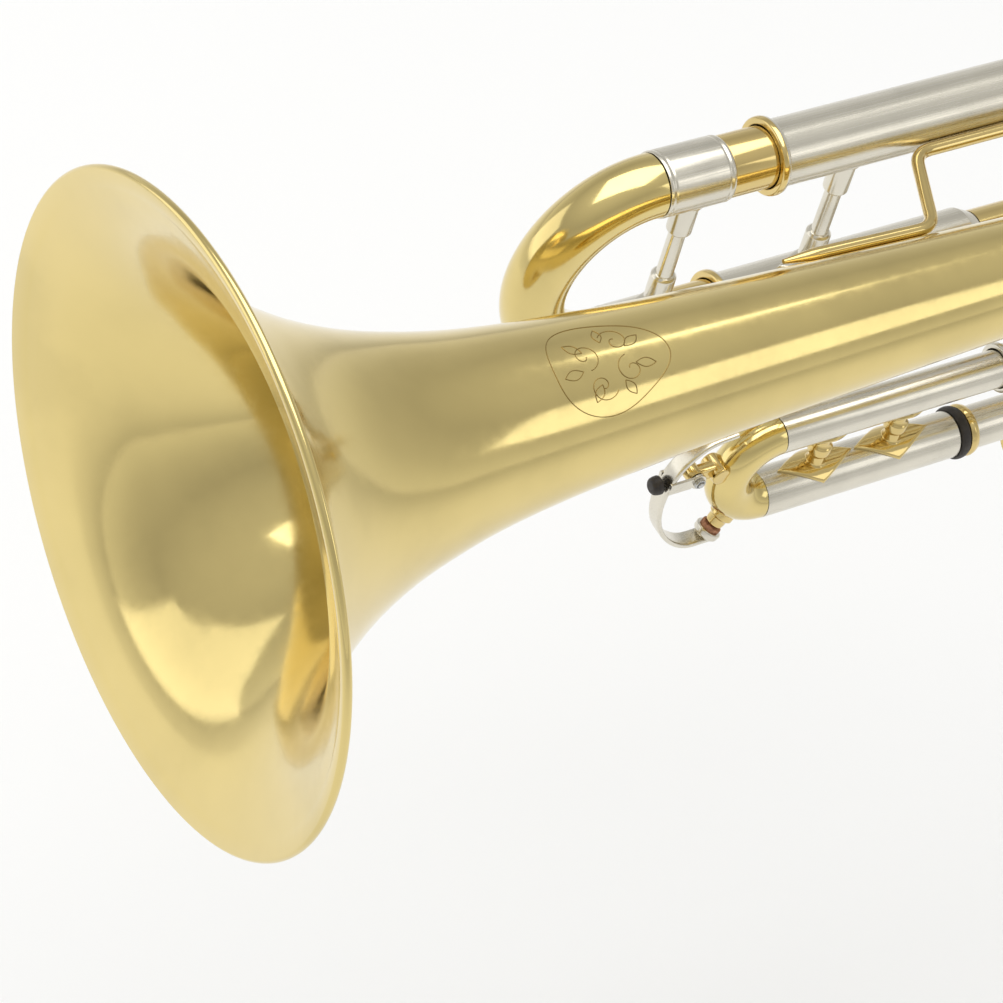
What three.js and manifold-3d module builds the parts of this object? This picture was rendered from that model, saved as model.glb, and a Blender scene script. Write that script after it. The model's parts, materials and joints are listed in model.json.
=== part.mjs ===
// Three-valve marching trombone (bell-front valve trombone).
// Millimetres. +X runs from the bell mouth back towards the mouthpiece, +Z is up,
// +Y runs from the bell across to the leadpipe. Shapes are drawn in the "bell frame",
// whose origin is the middle of the bell mouth; the whole group is then moved so that
// the row's origin is the hand grip, on the axis of the middle valve.
import * as THREE from 'three';
import * as BufferGeometryUtils from 'three/addons/utils/BufferGeometryUtils.js';
import Module from 'manifold-3d';

const wasm = await Module();
wasm.setup();

// ---------------------------------------------------------------- driving dimensions
const GRIP = new THREE.Vector3(424, 31, -50);   // origin of the row, in the bell frame

const RIM_R = 101.5;          // bell rim, outside radius (8 inch bell)
const RIM_WIRE_R = 1.5;       // rolled rim bead
const BELL_WALL = 0.9;
// outside of the bell: distance behind the mouth, radius
const BELL_OUT = [[3.2, 95.2], [5, 89.2], [8, 81.4], [12, 74.6], [18, 67.4], [26, 60.6], [34, 54.8],
  [44, 48.6], [54, 43.6], [66, 38.9], [80, 34.9], [98, 31.0], [120, 28.0], [150, 25.4], [190, 23.0],
  [240, 20.8], [300, 18.5], [380, 16.0], [498, 12.8]];
const BELL_SEG = 32;

const VALVE_Y = 31;                       // valve line, beside the bell
const VALVE_X = { 3: 392, 2: 424, 1: 456 }; // third valve is the front one
const CASE_R = 14, CASE_BORE = 12.4, CASE_Z0 = -145, CASE_Z1 = 24;
const CASE_SEG = 18;
const PISTON_R = 12.0, PISTON_Z0 = -121, PISTON_Z1 = -46;
const STEM_R = 2.6, STEM_TOP = 46.7;
const BUTTON_R = 9.5, BUTTON_Z0 = 47, BUTTON_Z1 = 51.4;
const CAP_R = 15.3, TOP_CAP_Z1 = 30, BOTTOM_CAP_Z0 = -151.5;
const VALVE_TRAVEL = 16;

const PIPE_Y = 66, PIPE_Z = 7.8;          // leadpipe line
const TUNE_CC = 70;                       // distance between the tuning slide's legs
const TUNE_LOW_Z = PIPE_Z - TUNE_CC;
const TUNE_OUT_R = 11.1, TUNE_OUT_RI = 10.6;
const TUNE_IN_R = 10.25, TUNE_IN_RI = 9.7;
const TUNE_BOW_X = 202, TUNE_FER_X1 = 227, TUNE_OUT_X0 = 243.6, TUNE_OUT_X1 = 352;
const TUNE_IN_X1 = 306;

const THIRD_Y = 24, THIRD_UP_Z = -83, THIRD_LOW_Z = -112.8;
const THIRD_BOW_X = 250.5, THIRD_SLEEVE_X1 = 331.4;
const THIRD_UP_R = 6.7, THIRD_LOW_R = 8.4, THIRD_LOW_RI = 8.0;
const THIRD_INNER_R = 7.65, THIRD_INNER_RI = 7.1;

const FACET = 0.6;                        // how finely small turned pieces are faceted
const GAP = 0.3;                          // clearance between neighbouring pieces

// ---------------------------------------------------------------- materials
const lacquer = () => new THREE.MeshStandardMaterial({ color: 0xc8a552, roughness: 0.22, metalness: 1.0 });
const nickel = () => new THREE.MeshStandardMaterial({ color: 0xb9b3a4, roughness: 0.3, metalness: 1.0 });
const rubber = () => new THREE.MeshStandardMaterial({ color: 0x241a14, roughness: 0.7, metalness: 0.0 });
const corkMat = () => new THREE.MeshStandardMaterial({ color: 0xc98a66, roughness: 0.9, metalness: 0.0 });
const steel = () => new THREE.MeshStandardMaterial({ color: 0x9a9a98, roughness: 0.35, metalness: 1.0 });
const silver = () => new THREE.MeshStandardMaterial({ color: 0xe0ded6, roughness: 0.15, metalness: 1.0 });
const pearl = () => new THREE.MeshStandardMaterial({ color: 0xeeeae0, roughness: 0.25, metalness: 0.0 });

// ---------------------------------------------------------------- helpers
const V = (x, y, z) => new THREE.Vector3(x, y, z);

// Merge the shared vertices, drop empty triangles and turn the faces outward.
function closed(g) {
  g = g.clone();
  for (const k of Object.keys(g.attributes)) if (k !== 'position') g.deleteAttribute(k);
  g = BufferGeometryUtils.mergeVertices(g, 1e-4);
  const p = g.attributes.position, idx = g.index.array, keep = [];
  let vol = 0;
  const a = V(), b = V(), c = V();
  for (let i = 0; i < idx.length; i += 3) {
    const [i0, i1, i2] = [idx[i], idx[i + 1], idx[i + 2]];
    if (i0 === i1 || i1 === i2 || i0 === i2) continue;
    keep.push(i0, i1, i2);
    a.fromBufferAttribute(p, i0); b.fromBufferAttribute(p, i1); c.fromBufferAttribute(p, i2);
    vol += a.dot(b.clone().cross(c)) / 6;
  }
  if (vol < 0) for (let i = 0; i < keep.length; i += 3) { const t = keep[i + 1]; keep[i + 1] = keep[i + 2]; keep[i + 2] = t; }
  g.setIndex(keep);
  return g;
}
function toSolid(g) {
  g = closed(g);
  return new wasm.Manifold(new wasm.Mesh({
    numProp: 3,
    vertProperties: new Float32Array(g.attributes.position.array),
    triVerts: new Uint32Array(g.index.array),
  }));
}
function fromSolid(s) {
  const m = s.getMesh();
  const g = new THREE.BufferGeometry();
  g.setAttribute('position', new THREE.BufferAttribute(new Float32Array(m.vertProperties), 3));
  g.setIndex(new THREE.BufferAttribute(new Uint32Array(m.triVerts), 1));
  return g;
}
const cut = (g, ...tools) => fromSolid(tools.reduce((s, t) => s.subtract(toSolid(t)), toSolid(g)));
const join = (g, ...more) => fromSolid(more.reduce((s, t) => s.add(toSolid(t)), toSolid(g)));

// Body of revolution about a line parallel to X, Y or Z. pts are [along, radius].
function turned(pts, axis, at, seg) {
  if (seg > 12 && seg !== CASE_SEG && seg !== BELL_SEG) seg = 2 * Math.round(seg * FACET / 2);
  const g = new THREE.LatheGeometry(pts.map(([h, r]) => new THREE.Vector2(r, h)), seg);
  if (axis === 'x') g.rotateZ(-Math.PI / 2);
  if (axis === 'z') g.rotateX(Math.PI / 2);
  g.translate(at.x, at.y, at.z);
  return closed(g);
}
const ring = (h0, h1, r, ri) => [[h0, ri], [h0, r], [h1, r], [h1, ri], [h0, ri]];
const rod = (h0, h1, r) => [[h0, 0], [h0, r], [h1, r], [h1, 0]];
const tubeX = (x0, x1, r, ri, y, z, seg = 24) => turned(ring(x0, x1, r, ri), 'x', V(0, y, z), seg);
const rodX = (x0, x1, r, y, z, seg = 20) => turned(rod(x0, x1, r), 'x', V(0, y, z), seg);
const tubeY = (y0, y1, r, ri, x, z, seg = 20) => turned(ring(y0, y1, r, ri), 'y', V(x, 0, z), seg);
const rodY = (y0, y1, r, x, z, seg = 16) => turned(rod(y0, y1, r), 'y', V(x, 0, z), seg);
const tubeZ = (z0, z1, r, ri, x, y, seg = 24) => turned(ring(z0, z1, r, ri), 'z', V(x, y, 0), seg);
const rodZ = (z0, z1, r, x, y, seg = 16) => turned(rod(z0, z1, r), 'z', V(x, y, 0), seg);
// A round rod between two points, with its own radius at each end.
function strut(a, b, r0, r1, seg = 12) {
  const d = b.clone().sub(a), g = new THREE.CylinderGeometry(r1, r0, d.length(), seg);
  g.translate(0, d.length() / 2, 0);
  g.applyQuaternion(new THREE.Quaternion().setFromUnitVectors(V(0, 1, 0), d.clone().normalize()));
  g.translate(a.x, a.y, a.z);
  return closed(g);
}
function block(sx, sy, sz, x, y, z) { const g = new THREE.BoxGeometry(sx, sy, sz); g.translate(x, y, z); return closed(g); }

// A run of straight and round stretches in one plane: each stretch is a length, or a turn [radius, angle].
class Run extends THREE.Curve {
  constructor(start, dir, side, parts) {
    super();
    this.pieces = [];
    let p = start.clone(), d = dir.clone(), s = side.clone(), total = 0;
    for (const part of parts) {
      if (typeof part === 'number') {
        this.pieces.push({ p: p.clone(), d: d.clone(), s: s.clone(), len: part });
        p = p.clone().addScaledVector(d, part); total += part;
      } else {
        const [r, ang] = part, len = r * ang;
        this.pieces.push({ p: p.clone(), d: d.clone(), s: s.clone(), len, r });
        p = p.clone().addScaledVector(d, r * Math.sin(ang)).addScaledVector(s, r * (1 - Math.cos(ang)));
        const nd = d.clone().multiplyScalar(Math.cos(ang)).addScaledVector(s, Math.sin(ang));
        const ns = s.clone().multiplyScalar(Math.cos(ang)).addScaledVector(d, -Math.sin(ang));
        d = nd; s = ns; total += len;
      }
    }
    this.total = total;
  }
  getPoint(t, out = V()) {
    let u = Math.min(Math.max(t, 0), 1) * this.total, q = this.pieces[this.pieces.length - 1];
    for (const k of this.pieces) { if (u <= k.len + 1e-9) { q = k; break; } u -= k.len; }
    if (q === this.pieces[this.pieces.length - 1]) u = Math.min(u, q.len);
    if (!q.r) return out.copy(q.p).addScaledVector(q.d, u);
    const a = u / q.r;
    return out.copy(q.p).addScaledVector(q.d, q.r * Math.sin(a)).addScaledVector(q.s, q.r * (1 - Math.cos(a)));
  }
}
// A pipe swept along a curve. Its radius runs from r0 to r1, and its wall is constant.
function pipe(path, r0, r1, wall, sides, steps) {
  const shape = new THREE.Shape(), hole = new THREE.Path();
  shape.absarc(0, 0, 1, 0, Math.PI * 2);
  hole.absarc(0, 0, 0.5, 0, Math.PI * 2);
  if (wall) shape.holes.push(hole);
  const g = closed(new THREE.ExtrudeGeometry(shape, { steps, bevelEnabled: false, extrudePath: path, curveSegments: sides / 2 }));
  const P = path.getSpacedPoints(steps), T = [];
  for (let i = 0; i <= steps; i++) T.push(path.getTangentAt(i / steps));
  const pos = g.attributes.position, v = V();
  for (let i = 0; i < pos.count; i++) {
    v.fromBufferAttribute(pos, i);
    let best = 1e9, k = 0;
    for (let j = 0; j <= steps; j++) {
      const d = v.clone().sub(P[j]), off = Math.abs(d.dot(T[j]));
      if (d.length() > 1.02) continue;
      if (off < best) { best = off; k = j; }
    }
    const R = r0 + (r1 - r0) * k / steps, d = v.sub(P[k]), want = d.length() > 0.75 ? R : R - wall;
    d.setLength(want).add(P[k]);
    pos.setXYZ(i, d.x, d.y, d.z);
  }
  return closed(g);
}

const group = new THREE.Group();
const frame = new THREE.Group();
frame.position.copy(GRIP).negate();
group.add(frame);
function part(name, geometry, material) {
  const m = new THREE.Mesh(closed(geometry), material);
  m.name = name;
  frame.add(m);
  return m;
}

// ---------------------------------------------------------------- bell
{
  // inside face: the outside moved in by the wall, square to the surface
  const inner = BELL_OUT.map(([x, r], i) => {
    const [xa, ra] = BELL_OUT[Math.max(0, i - 1)], [xb, rb] = BELL_OUT[Math.min(BELL_OUT.length - 1, i + 1)];
    const l = Math.hypot(xb - xa, rb - ra), nx = (rb - ra) / l, nr = -(xb - xa) / l;
    return [x + nx * BELL_WALL, r + nr * BELL_WALL];
  });
  inner[inner.length - 1] = [BELL_OUT.at(-1)[0], BELL_OUT.at(-1)[1] - BELL_WALL];
  const c = [0.2 + RIM_WIRE_R, RIM_R - RIM_WIRE_R], bead = [];
  for (const a of [170, 115, 60, 5, -50]) {
    bead.push([c[0] + RIM_WIRE_R * Math.cos(a * Math.PI / 180), c[1] + RIM_WIRE_R * Math.sin(a * Math.PI / 180)]);
  }
  const profile = [...inner.slice().reverse(), ...bead, ...BELL_OUT];
  profile.push(profile[0].slice());
  part('bell', turned(profile, 'x', V(0, 0, 0), BELL_SEG), lacquer());
}

// ---------------------------------------------------------------- rear bow, from the bell tail down to the first valve
const BOW_Z = -62;
const caseCutter = (x, r = CASE_R + GAP + 0.05) => rodZ(CASE_Z0 - 10, CASE_Z1 + 10, r, x, VALVE_Y, CASE_SEG);
{
  const down = V(0, VALVE_Y, BOW_Z), r = down.length() / 2;
  part('bell_bow', pipe(new Run(V(498.3, 0, 0), V(1, 0, 0), down.clone().normalize(), [1, [r, Math.PI], 1]), 12.8, 9.2, 0.9, 14, 12), lacquer());
  part('bell_bow_ferrule', cut(turned([[462, 8.2], [462, 9.2], [476, 9.2], [476, 10.4], [498, 10.4], [498, 8.2], [462, 8.2]], 'x', V(0, VALVE_Y, BOW_Z), 24),
    caseCutter(VALVE_X[1])), nickel());
}

// ---------------------------------------------------------------- valves
function port(x, r, dir, z, y = VALVE_Y) {
  return dir === 'y' ? rodY(VALVE_Y, VALVE_Y + 40, r, x, z, 14)
    : rodX(dir === '+x' ? x : x - 40, dir === '+x' ? x + 40 : x, r, y, z, 14);
}
const CROSS_Z = { 23: -92, 12: -76 };
const SLIDE_UP_Z = -88, SLIDE_LOW_Z = -115;
const PORTS = {
  3: [port(392, 7.2, 'y', TUNE_LOW_Z), port(392, 5.4, '-x', THIRD_UP_Z, 26), port(392, 5.8, '-x', THIRD_LOW_Z, 26), port(392, 6, '+x', CROSS_Z[23])],
  2: [port(424, 6, '-x', CROSS_Z[23]), port(424, 6, '+x', CROSS_Z[12]), port(424, 5.4, 'y', SLIDE_UP_Z), port(424, 5.4, 'y', SLIDE_LOW_Z)],
  1: [port(456, 6, '-x', CROSS_Z[12]), port(456, 7.8, '+x', BOW_Z), port(456, 5.4, '+x', SLIDE_UP_Z), port(456, 5.4, '+x', SLIDE_LOW_Z)],
};
const ORDER = { 3: 'third', 2: 'second', 1: 'first' };
for (const n of [1, 2, 3]) {
  const x = VALVE_X[n], y = VALVE_Y, name = ORDER[n];
  part(`${name}_valve_casing`, cut(tubeZ(CASE_Z0, CASE_Z1, CASE_R, CASE_BORE, x, y, CASE_SEG), ...PORTS[n]), nickel());
  part(`${name}_valve_top_cap`, turned([[CASE_Z1 + GAP, 3.3], [CASE_Z1 + GAP, CAP_R], [TOP_CAP_Z1 - 2, CAP_R], [TOP_CAP_Z1, 11], [TOP_CAP_Z1, 3.3], [CASE_Z1 + GAP, 3.3]], 'z', V(x, y, 0), CASE_SEG), lacquer());
  part(`${name}_valve_bottom_cap`, turned([[BOTTOM_CAP_Z0, 0], [BOTTOM_CAP_Z0, 12.5], [BOTTOM_CAP_Z0 + 2, CAP_R], [CASE_Z0 - GAP, CAP_R], [CASE_Z0 - GAP, 0]], 'z', V(x, y, 0), CASE_SEG), lacquer());
  // piston: two cross passages and one slanting one, and the valve stem on top
  const body = turned([[PISTON_Z0, 0], [PISTON_Z0, PISTON_R], [PISTON_Z1, PISTON_R], [PISTON_Z1 + 3, 6], [PISTON_Z1 + 12, STEM_R], [STEM_TOP, STEM_R], [STEM_TOP, 0]], 'z', V(x, y, 0), CASE_SEG);
  part(`${name}_piston`, cut(body,
    rodX(x - 30, x + 30, 5.2, y, -62, 10),
    strut(V(x - 30, y, -82), V(x + 30, y, -94), 5.2, 5.2, 10),
    rodX(x - 30, x + 30, 5.2, y, -112, 10)), nickel());
  part(`${name}_valve_button`, turned([[BUTTON_Z0, 0], [BUTTON_Z0, 5], [BUTTON_Z0 + 1.6, BUTTON_R], [BUTTON_Z1 - 0.8, BUTTON_R], [BUTTON_Z1, 8.2], [BUTTON_Z1 - 0.9, 0]], 'z', V(x, y, 0), 20), pearl());
  // valve spring under the piston
  const turns = 3.5, z0 = CASE_Z0 + GAP + 0.7, z1 = PISTON_Z0 - GAP - 0.95, R = 8.8;
  class Coil extends THREE.Curve {
    getPoint(t, out = V()) { const a = t * turns * 2 * Math.PI; return out.set(x + R * Math.cos(a), y + R * Math.sin(a), z0 + (z1 - z0) * t); }
  }
  part(`${name}_valve_spring`, pipe(new Coil(), 0.8, 0.8, 0, 4, 24), steel());
}
for (const [k, xa, xb] of [[23, 392, 424], [12, 424, 456]]) {
  part(k === 23 ? 'crossover_tube_front' : 'crossover_tube_rear',
    cut(tubeX(xa + 6, xb - 6, 7.4, 6.3, VALVE_Y, CROSS_Z[k], 16), caseCutter(xa), caseCutter(xb)), nickel());
}

// ---------------------------------------------------------------- leadpipe, receiver and mouthpiece
part('leadpipe', turned([[TUNE_OUT_X1 + GAP, 7.2], [TUNE_OUT_X1 + GAP, 8.6], [600, 6.9], [600, 5.7], [TUNE_OUT_X1 + GAP, 7.2]], 'x', V(0, PIPE_Y, PIPE_Z), 24), lacquer());
part('mouthpiece_receiver', turned([[600 + GAP, 7.0], [600 + GAP, 8.6], [606, 9.4], [638, 9.4], [640, 10.2], [645, 10.2], [645, 7.0], [600 + GAP, 7.0]], 'x', V(0, PIPE_Y, PIPE_Z), 24), nickel());
part('mouthpiece', turned([[626, 4.4], [626, 5.9], [662, 6.6], [668, 8.2], [678, 12.6], [692, 15.6], [699, 17.2], [702, 19.2], [706, 19.2], [708.4, 17], [708, 14.6], [705, 12.9],
  [698, 12.2], [689, 9.6], [683, 5.4], [679, 3.3], [626, 4.4]], 'x', V(0, PIPE_Y, PIPE_Z), 20), silver());

// ---------------------------------------------------------------- main tuning slide: fixed outer tubes
// Each outer tube has its rolled end ring; the rear end necks down to the pipe behind it.
const outerTube = (z) => turned([[TUNE_OUT_X0, TUNE_OUT_RI], [TUNE_OUT_X0, 12.6], [TUNE_OUT_X0 + 1.2, 13.1], [TUNE_OUT_X0 + 2.9, 12.6], [TUNE_OUT_X0 + 3.2, TUNE_OUT_R],
  [TUNE_OUT_X1 - 5, TUNE_OUT_R], [TUNE_OUT_X1, 8.8], [TUNE_OUT_X1, 7.2], [TUNE_OUT_X1 - 8, TUNE_OUT_RI], [TUNE_OUT_X0, TUNE_OUT_RI]], 'x', V(0, PIPE_Y, z), 28);
part('tuning_outer_upper', outerTube(PIPE_Z), nickel());
part('tuning_outer_lower', outerTube(TUNE_LOW_Z), nickel());
{
  const turn = 17, x0 = TUNE_OUT_X1 + GAP;
  part('valve_inlet_elbow', cut(pipe(new Run(V(x0, PIPE_Y, TUNE_LOW_Z), V(1, 0, 0), V(0, -1, 0), [392 - turn - x0, [turn, Math.PI / 2], PIPE_Y - turn - 38]), 8.8, 8.4, 1.0, 12, 9),
    caseCutter(392)), lacquer());
}
// A stay between two tubes: a rod with a socket at each end, each standing on a lozenge foot bent round its tube.
function lozengeFoot(x, y, z, tubeR, up, halfX, halfY, t) {
  const shell = turned(ring(x - halfX - 1, x + halfX + 1, tubeR + GAP + t, tubeR + GAP), 'x', V(0, y, z), 28);
  const s = new THREE.Shape([new THREE.Vector2(-halfX, 0), new THREE.Vector2(0, -halfY), new THREE.Vector2(halfX, 0), new THREE.Vector2(0, halfY)]);
  const p = new THREE.ExtrudeGeometry(s, { depth: tubeR + 4, bevelEnabled: false });
  if (up < 0) p.translate(0, 0, -(tubeR + 4));
  p.translate(x, y, z);
  return fromSolid(toSolid(shell).intersect(toSolid(p)));
}
function stay(x, rTop, rBottom) {
  const zt = PIPE_Z - rTop - GAP - 0.1, zb = TUNE_LOW_Z + rBottom + GAP + 0.1;
  return join(rodZ(zb, zt, 2.9, x, PIPE_Y, 12),
    rodZ(zt - 14, zt, 4.3, x, PIPE_Y, 14), rodZ(zb, zb + 14, 4.3, x, PIPE_Y, 14),
    lozengeFoot(x, PIPE_Y, PIPE_Z, rTop, -1, 13, 6.2, 1.0), lozengeFoot(x, PIPE_Y, TUNE_LOW_Z, rBottom, 1, 13, 6.2, 1.0));
}
part('tuning_outer_stay', stay(280.5, TUNE_OUT_R, TUNE_OUT_R), nickel());

// main tuning slide: the piece that pulls out
const TUNE_FER_R = 10.95;
part('tuning_bow', pipe(new Run(V(TUNE_BOW_X, PIPE_Y, PIPE_Z), V(-1, 0, 0), V(0, 0, -1), [[TUNE_CC / 2, Math.PI]]), 10.45, 10.45, 0.8, 18, 13), lacquer());
for (const [n, z] of [['upper', PIPE_Z], ['lower', TUNE_LOW_Z]]) {
  part(`tuning_ferrule_${n}`, turned([[TUNE_BOW_X + GAP, 9.7], [TUNE_BOW_X + GAP, 10.8], [TUNE_BOW_X + 2, TUNE_FER_R], [TUNE_FER_X1 - 0.6, TUNE_FER_R], [TUNE_FER_X1, 10.7], [TUNE_FER_X1, 9.7], [TUNE_BOW_X + GAP, 9.7]], 'x', V(0, PIPE_Y, z), 28), nickel());
  part(`tuning_inner_${n}`, tubeX(TUNE_FER_X1 + GAP, TUNE_IN_X1, TUNE_IN_R, TUNE_IN_RI, PIPE_Y, z, 28), lacquer());
}
part('tuning_slide_stay', stay(218.9, TUNE_FER_R, TUNE_FER_R), nickel());

// ---------------------------------------------------------------- braces between the bell and the leadpipe
{
  // Z brace: one arm lies along the bell, a bar crosses over, and the other arm lies along the leadpipe tube.
  const arm = (pts, w) => {
    let g = null;
    for (let i = 0; i < pts.length - 1; i++) {
      const s = strut(pts[i], pts[i + 1], w, w, 8);
      g = g ? join(g, s) : s;
      if (i) { const b = new THREE.SphereGeometry(w, 8, 6); b.translate(pts[i].x, pts[i].y, pts[i].z); g = join(g, b); }
    }
    return g;
  };
  const side = (x, r) => V(x, (r + 2.7) * 0.93, (r + 2.7) * 0.37);
  part('bell_z_brace', arm([side(224, 21.5), side(281, 19.3), V(296, PIPE_Y - 13.6, 6.5), V(347, PIPE_Y - 13.6, 6.5)], 2.2), lacquer());
  // rear brace: a straight stay between the bell tail and the leadpipe
  part('rear_brace', join(rodY(13.8, PIPE_Y - 8.4, 2.4, 486, 5, 12), rodY(13.8, 17.5, 4.4, 486, 5, 14), rodY(PIPE_Y - 12, PIPE_Y - 8.4, 4.4, 486, 5, 14)), lacquer());
}

// ---------------------------------------------------------------- third valve slide: fixed tubes on the valve
const T_UP_OUT_X0 = 342;
part('third_inner_lower', cut(tubeX(262, 388, THIRD_INNER_R, THIRD_INNER_RI, THIRD_Y, THIRD_LOW_Z), caseCutter(392)), nickel());
part('third_outer_upper', cut(turned([[T_UP_OUT_X0, 7.1], [T_UP_OUT_X0, 8.9], [T_UP_OUT_X0 + 2.6, 8.9], [T_UP_OUT_X0 + 3, 7.8], [388, 7.8], [388, 7.1], [T_UP_OUT_X0, 7.1]], 'x', V(0, THIRD_Y, THIRD_UP_Z), 24), caseCutter(392)), nickel());
part('third_slide_bumper', turned([[THIRD_SLEEVE_X1 + GAP, 8.0], [THIRD_SLEEVE_X1 + GAP, 8.9], [THIRD_SLEEVE_X1 + 2.2, 9.5], [THIRD_SLEEVE_X1 + 4.2, 8.9], [THIRD_SLEEVE_X1 + 4.2, 8.0], [THIRD_SLEEVE_X1 + GAP, 8.0]], 'x', V(0, THIRD_Y, THIRD_LOW_Z), 24), rubber());
part('third_slide_stop_ring', turned([[THIRD_SLEEVE_X1 + 4.5, 8.0], [THIRD_SLEEVE_X1 + 4.5, 8.9], [THIRD_SLEEVE_X1 + 6, 9.4], [THIRD_SLEEVE_X1 + 7.8, 8.9], [THIRD_SLEEVE_X1 + 7.8, 8.0], [THIRD_SLEEVE_X1 + 4.5, 8.0]], 'x', V(0, THIRD_Y, THIRD_LOW_Z), 24), lacquer());

// third valve slide: the piece that pulls out
const T_CC = THIRD_UP_Z - THIRD_LOW_Z;
const thirdBow = pipe(new Run(V(THIRD_BOW_X, THIRD_Y, THIRD_UP_Z), V(-1, 0, 0), V(0, 0, -1), [[T_CC / 2, Math.PI]]), THIRD_UP_R, THIRD_LOW_R - 0.1, 0.7, 14, 11);
part('third_bow', thirdBow, lacquer());
part('third_leg_upper', tubeX(THIRD_BOW_X + GAP, 377, THIRD_UP_R, 6.2, THIRD_Y, THIRD_UP_Z), nickel());
part('third_sleeve_lower', tubeX(THIRD_BOW_X + GAP, THIRD_SLEEVE_X1, THIRD_LOW_R, THIRD_LOW_RI, THIRD_Y, THIRD_LOW_Z, 28), nickel());
for (const [n, x] of [['front', 272.7], ['rear', 304.4]]) {
  const zt = THIRD_UP_Z - THIRD_UP_R - GAP - 0.1, zb = THIRD_LOW_Z + THIRD_LOW_R + GAP + 0.1;
  part(`third_stay_${n}`, join(rodZ(zb, zt, 3.1, x, THIRD_Y, 14), rodZ((zb + zt) / 2 - 2.4, (zb + zt) / 2 + 2.4, 4.2, x, THIRD_Y, 14),
    lozengeFoot(x, THIRD_Y, THIRD_UP_Z, THIRD_UP_R, -1, 14, 6.4, 0.9), lozengeFoot(x, THIRD_Y, THIRD_LOW_Z, THIRD_LOW_R, 1, 15.3, 8.2, 0.9)), lacquer());
}

// ---------------------------------------------------------------- water key on the third slide's bow
{
  const c = V(THIRD_BOW_X, THIRD_Y, (THIRD_UP_Z + THIRD_LOW_Z) / 2), n = V(-0.5, 0, -0.866), mid = c.clone().addScaledVector(n, T_CC / 2);
  const on = (d) => mid.clone().addScaledVector(n, d);
  const bowBody = pipe(new Run(V(THIRD_BOW_X + 2, THIRD_Y, THIRD_UP_Z), V(-1, 0, 0), V(0, 0, -1), [2, [T_CC / 2, Math.PI], 2]), THIRD_UP_R + 0.7, THIRD_LOW_R + 0.6, 0, 14, 13);
  part('water_key_nipple', cut(join(strut(on(5), on(10), 4.4, 4.4, 16), strut(on(9.5), on(13.2), 3.4, 3.0, 16)), bowBody, strut(on(3), on(14), 1.5, 1.5, 10)), lacquer());
  part('water_key_cork', strut(on(13.5), on(15.9), 3.7, 3.7, 16), corkMat());
  const pivot = V(219.5, THIRD_Y, -91);
  // saddle: a block on the front of the bow with a lug that carries the pin
  part('water_key_saddle', cut(join(block(9.4, 9, 8, 227.9, THIRD_Y, -91.5), rodY(THIRD_Y - 2.2, THIRD_Y + 2.2, 3.0, pivot.x, pivot.z, 16), block(6, 4.4, 5, 221.5, THIRD_Y, -91)), bowBody,
    rodY(THIRD_Y - 8, THIRD_Y + 8, 1.5, pivot.x, pivot.z, 14)), lacquer());
  part('water_key_pin', rodY(THIRD_Y - 5.6, THIRD_Y + 5.6, 1.1, pivot.x, pivot.z, 14), steel());
  // lever: a curved strip in front of the bow, two ears to the pin, and the cork cup at its lower end
  const pts = [[231, -73.5], [220, -75.5], [211.5, -84], [208, -97], [209.8, -110], [216, -120.4], [224.5, -126.6], [234.5, -127.2]].map(([x, z]) => V(x, THIRD_Y, z));
  const strip = new THREE.ExtrudeGeometry(new THREE.Shape([new THREE.Vector2(-3.2, -0.9), new THREE.Vector2(3.2, -0.9), new THREE.Vector2(3.2, 0.9), new THREE.Vector2(-3.2, 0.9)]),
    { steps: 20, bevelEnabled: false, extrudePath: new THREE.CatmullRomCurve3(pts) });
  const ear = (y) => join(block(13, 1.3, 5, 213.2, y, -91), rodY(y - 0.65, y + 0.65, 2.9, pivot.x, pivot.z, 16));
  const cup = cut(strut(on(14.2), on(18.6), 4.9, 4.4, 18), strut(on(12), on(16.2), 4.1, 4.1, 16));
  part('water_key_lever', cut(join(strip, ear(THIRD_Y - 3.2), ear(THIRD_Y + 3.2), cup), rodY(THIRD_Y - 8, THIRD_Y + 8, 1.45, pivot.x, pivot.z, 14)), nickel());
  part('water_key_thumb_pad', strut(V(206.3, THIRD_Y, -91), V(202.6, THIRD_Y, -91), 4.2, 3.6, 16), rubber());
}

// ---------------------------------------------------------------- first and second valve slides
part('first_outer_upper', cut(turned([[462, 5.6], [462, 7.4], [519, 7.4], [519.3, 8.3], [522, 8.3], [522, 6.7], [476, 6.7], [475, 5.6], [462, 5.6]], 'x', V(0, VALVE_Y, SLIDE_UP_Z), 20), caseCutter(456)), nickel());
part('first_outer_lower', cut(turned([[462, 5.6], [462, 7.4], [519, 7.4], [519.3, 8.3], [522, 8.3], [522, 6.7], [476, 6.7], [475, 5.6], [462, 5.6]], 'x', V(0, VALVE_Y, SLIDE_LOW_Z), 20), caseCutter(456)), nickel());
part('second_outer_upper', cut(turned([[37, 5.6], [37, 7.4], [59.5, 7.4], [59.8, 8.3], [62, 8.3], [62, 6.7], [49, 6.7], [48, 5.6], [37, 5.6]], 'y', V(424, 0, SLIDE_UP_Z), 20), caseCutter(424)), nickel());
part('second_outer_lower', cut(turned([[37, 5.6], [37, 7.4], [59.5, 7.4], [59.8, 8.3], [62, 8.3], [62, 6.7], [49, 6.7], [48, 5.6], [37, 5.6]], 'y', V(424, 0, SLIDE_LOW_Z), 20), caseCutter(424)), nickel());
const smallR = (SLIDE_UP_Z - SLIDE_LOW_Z) / 2;
part('first_slide', pipe(new Run(V(480, VALVE_Y, SLIDE_UP_Z), V(1, 0, 0), V(0, 0, -1), [45, [smallR, Math.PI], 45]), 6.3, 6.3, 0.6, 10, 16), lacquer());
part('second_slide', pipe(new Run(V(424, 51, SLIDE_UP_Z), V(0, 1, 0), V(0, 0, -1), [14, [smallR, Math.PI], 14]), 6.3, 6.3, 0.6, 10, 12), lacquer());

export default group;
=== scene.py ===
import json
import math

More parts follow.
